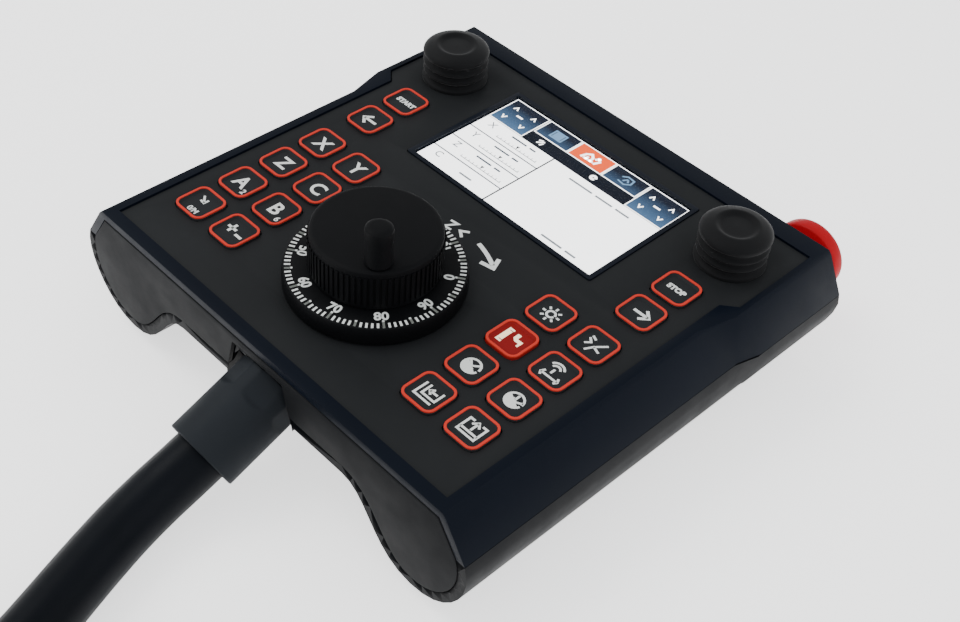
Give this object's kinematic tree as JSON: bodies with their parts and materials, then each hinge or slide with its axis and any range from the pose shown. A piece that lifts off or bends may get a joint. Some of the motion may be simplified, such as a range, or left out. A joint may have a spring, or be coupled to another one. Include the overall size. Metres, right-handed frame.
{
  "type": "pendant control station",
  "caption": "Hand-held pendant control station with two grip lobes, key panel, display, handwheel with crank peg, thumb joysticks, emergency stop, cable gland and coiled cable.",
  "frame": {"origin": "centre of the station's bounding box in plan (the cord and connector left out), on the plane the station's feet stand on", "axes": "+Z out of the control panel, +Y along the panel away from the cable gland, +X to the right seen from in front of the panel"},
  "size_m": [0.3994, 0.5557, 0.0984],
  "materials": {
    "top_housing": "satin navy",
    "rear_housing": "matte grey",
    "end_plate": "matte",
    "control_panel": "fine matte",
    "display_bezel": "gloss",
    "display_window": "clear",
    "display_module": "gloss",
    "main_board": "solder mask",
    "key": "matte",
    "encoder_body": "machined",
    "handwheel": "satin",
    "joystick_metal": "brushed",
    "joystick_cap": "matte",
    "joystick_boot": "matte",
    "estop_black": "satin",
    "estop_red": "satin",
    "gland": "matte",
    "seal": "matte",
    "cable": "satin",
    "strap": "woven",
    "connector_metal": "satin",
    "screw": "zinc",
    "magnet": "rubber-coated"
  },
  "bodies": {
    "housing": {"top_housing": "top_housing", "rear_housing": "rear_housing", "display_bezel": "display_bezel", "end_plate": "end_plate", "control_panel": "control_panel", "display_window": "display_window", "display_module": "display_module", "main_board": "main_board", "encoder_body": "encoder_body", "joystick_base_left": "joystick_metal", "joystick_base_right": "joystick_metal", "joystick_boot_left": "joystick_boot", "joystick_boot_right": "joystick_boot", "estop_collar": "estop_black", "estop_contact_block": "estop_black", "gland_body": "gland", "gland_nut": "gland", "gland_seal": "seal", "cable_lead": "cable", "cable_coil": "cable", "coil_strap": "strap", "connector_shell": "connector_metal", "connector_nut": "connector_metal", "housing_screw_1": "screw", "housing_screw_2": "screw", "housing_screw_3": "screw", "housing_screw_4": "screw", "holding_magnet_1": "magnet", "holding_magnet_2": "magnet", "holding_magnet_3": "magnet", "holding_magnet_4": "magnet"},
    "key_left_outer_1": {"key_left_outer_1": "key"},
    "key_left_outer_2": {"key_left_outer_2": "key"},
    "key_left_outer_3": {"key_left_outer_3": "key"},
    "key_left_outer_4": {"key_left_outer_4": "key"},
    "key_left_outer_5": {"key_left_outer_5": "key"},
    "key_left_outer_6": {"key_left_outer_6": "key"},
    "key_left_inner_1": {"key_left_inner_1": "key"},
    "key_left_inner_2": {"key_left_inner_2": "key"},
    "key_left_inner_3": {"key_left_inner_3": "key"},
    "key_left_inner_4": {"key_left_inner_4": "key"},
    "key_right_outer_1": {"key_right_outer_1": "key"},
    "key_right_outer_2": {"key_right_outer_2": "key"},
    "key_right_outer_3": {"key_right_outer_3": "key"},
    "key_right_outer_4": {"key_right_outer_4": "key"},
    "key_right_outer_5": {"key_right_outer_5": "key"},
    "key_right_outer_6": {"key_right_outer_6": "key"},
    "key_right_inner_1": {"key_right_inner_1": "key"},
    "key_right_inner_2": {"key_right_inner_2": "key"},
    "key_right_inner_3": {"key_right_inner_3": "key"},
    "key_right_inner_4": {"key_right_inner_4": "key"},
    "handwheel": {"handwheel_dial": "handwheel", "handwheel_knob": "handwheel"},
    "crank_peg": {"crank_peg": "handwheel"},
    "gimbal_left": {"joystick_gimbal_left": "joystick_metal"},
    "stick_left": {"joystick_cap_left": "joystick_cap"},
    "gimbal_right": {"joystick_gimbal_right": "joystick_metal"},
    "stick_right": {"joystick_cap_right": "joystick_cap"},
    "estop_plunger": {"estop_plunger": "joystick_metal"},
    "estop_head": {"estop_mushroom": "estop_red"}
  },
  "joints": [
    {"name": "key_left_outer_1_press", "type": "slide", "parent": "housing", "child": "key_left_outer_1", "axis": [0, 0, -1], "range_m": [0, 0.0008], "stiffness_N_per_m": 2500, "springref_m": -0.0002},
    {"name": "key_left_outer_2_press", "type": "slide", "parent": "housing", "child": "key_left_outer_2", "axis": [0, 0, -1], "range_m": [0, 0.0008], "stiffness_N_per_m": 2500, "springref_m": -0.0002},
    {"name": "key_left_outer_3_press", "type": "slide", "parent": "housing", "child": "key_left_outer_3", "axis": [0, 0, -1], "range_m": [0, 0.0008], "stiffness_N_per_m": 2500, "springref_m": -0.0002},
    {"name": "key_left_outer_4_press", "type": "slide", "parent": "housing", "child": "key_left_outer_4", "axis": [0, 0, -1], "range_m": [0, 0.0008], "stiffness_N_per_m": 2500, "springref_m": -0.0002},
    {"name": "key_left_outer_5_press", "type": "slide", "parent": "housing", "child": "key_left_outer_5", "axis": [0, 0, -1], "range_m": [0, 0.0008], "stiffness_N_per_m": 2500, "springref_m": -0.0002},
    {"name": "key_left_outer_6_press", "type": "slide", "parent": "housing", "child": "key_left_outer_6", "axis": [0, 0, -1], "range_m": [0, 0.0008], "stiffness_N_per_m": 2500, "springref_m": -0.0002},
    {"name": "key_left_inner_1_press", "type": "slide", "parent": "housing", "child": "key_left_inner_1", "axis": [0, 0, -1], "range_m": [0, 0.0008], "stiffness_N_per_m": 2500, "springref_m": -0.0002},
    {"name": "key_left_inner_2_press", "type": "slide", "parent": "housing", "child": "key_left_inner_2", "axis": [0, 0, -1], "range_m": [0, 0.0008], "stiffness_N_per_m": 2500, "springref_m": -0.0002},
    {"name": "key_left_inner_3_press", "type": "slide", "parent": "housing", "child": "key_left_inner_3", "axis": [0, 0, -1], "range_m": [0, 0.0008], "stiffness_N_per_m": 2500, "springref_m": -0.0002},
    {"name": "key_left_inner_4_press", "type": "slide", "parent": "housing", "child": "key_left_inner_4", "axis": [0, 0, -1], "range_m": [0, 0.0008], "stiffness_N_per_m": 2500, "springref_m": -0.0002},
    {"name": "key_right_outer_1_press", "type": "slide", "parent": "housing", "child": "key_right_outer_1", "axis": [0, 0, -1], "range_m": [0, 0.0008], "stiffness_N_per_m": 2500, "springref_m": -0.0002},
    {"name": "key_right_outer_2_press", "type": "slide", "parent": "housing", "child": "key_right_outer_2", "axis": [0, 0, -1], "range_m": [0, 0.0008], "stiffness_N_per_m": 2500, "springref_m": -0.0002},
    {"name": "key_right_outer_3_press", "type": "slide", "parent": "housing", "child": "key_right_outer_3", "axis": [0, 0, -1], "range_m": [0, 0.0008], "stiffness_N_per_m": 2500, "springref_m": -0.0002},
    {"name": "key_right_outer_4_press", "type": "slide", "parent": "housing", "child": "key_right_outer_4", "axis": [0, 0, -1], "range_m": [0, 0.0008], "stiffness_N_per_m": 2500, "springref_m": -0.0002},
    {"name": "key_right_outer_5_press", "type": "slide", "parent": "housing", "child": "key_right_outer_5", "axis": [0, 0, -1], "range_m": [0, 0.0008], "stiffness_N_per_m": 2500, "springref_m": -0.0002},
    {"name": "key_right_outer_6_press", "type": "slide", "parent": "housing", "child": "key_right_outer_6", "axis": [0, 0, -1], "range_m": [0, 0.0008], "stiffness_N_per_m": 2500, "springref_m": -0.0002},
    {"name": "key_right_inner_1_press", "type": "slide", "parent": "housing", "child": "key_right_inner_1", "axis": [0, 0, -1], "range_m": [0, 0.0008], "stiffness_N_per_m": 2500, "springref_m": -0.0002},
    {"name": "key_right_inner_2_press", "type": "slide", "parent": "housing", "child": "key_right_inner_2", "axis": [0, 0, -1], "range_m": [0, 0.0008], "stiffness_N_per_m": 2500, "springref_m": -0.0002},
    {"name": "key_right_inner_3_press", "type": "slide", "parent": "housing", "child": "key_right_inner_3", "axis": [0, 0, -1], "range_m": [0, 0.0008], "stiffness_N_per_m": 2500, "springref_m": -0.0002},
    {"name": "key_right_inner_4_press", "type": "slide", "parent": "housing", "child": "key_right_inner_4", "axis": [0, 0, -1], "range_m": [0, 0.0008], "stiffness_N_per_m": 2500, "springref_m": -0.0002},
    {"name": "handwheel_turn", "type": "hinge", "parent": "housing", "child": "handwheel", "pos_m": [0, -0.0434, 0.066], "axis": [0, 0, 1], "continuous": true},
    {"name": "crank_peg_spin", "type": "hinge", "parent": "handwheel", "child": "crank_peg", "pos_m": [0.0143, -0.0549, 0.086], "axis": [0, 0, 1], "continuous": true},
    {"name": "joystick_left_forward_back", "type": "hinge", "parent": "housing", "child": "gimbal_left", "pos_m": [-0.0771, 0.0691, 0.047], "axis": [1, 0, 0], "range_deg": [-15, 15], "stiffness_Nm_per_rad": 0.15, "deforming": ["joystick_boot_left"]},
    {"name": "joystick_left_left_right", "type": "hinge", "parent": "gimbal_left", "child": "stick_left", "pos_m": [-0.0771, 0.0691, 0.047], "axis": [0, 1, 0], "range_deg": [-15, 15], "stiffness_Nm_per_rad": 0.15, "deforming": ["joystick_boot_left"]},
    {"name": "joystick_right_forward_back", "type": "hinge", "parent": "housing", "child": "gimbal_right", "pos_m": [0.0771, 0.0691, 0.047], "axis": [1, 0, 0], "range_deg": [-15, 15], "stiffness_Nm_per_rad": 0.15, "deforming": ["joystick_boot_right"]},
    {"name": "joystick_right_left_right", "type": "hinge", "parent": "gimbal_right", "child": "stick_right", "pos_m": [0.0771, 0.0691, 0.047], "axis": [0, 1, 0], "range_deg": [-15, 15], "stiffness_Nm_per_rad": 0.15, "deforming": ["joystick_boot_right"]},
    {"name": "estop_press", "type": "slide", "parent": "housing", "child": "estop_plunger", "axis": [0, -1, 0], "range_m": [0, 0.004], "stiffness_N_per_m": 2500, "springref_m": -0.001},
    {"name": "estop_reset_turn", "type": "hinge", "parent": "estop_plunger", "child": "estop_head", "pos_m": [0.081, 0.1235, 0.0292], "axis": [0, 1, 0], "range_deg": [-45, 0], "stiffness_Nm_per_rad": 0.3}
  ]
}
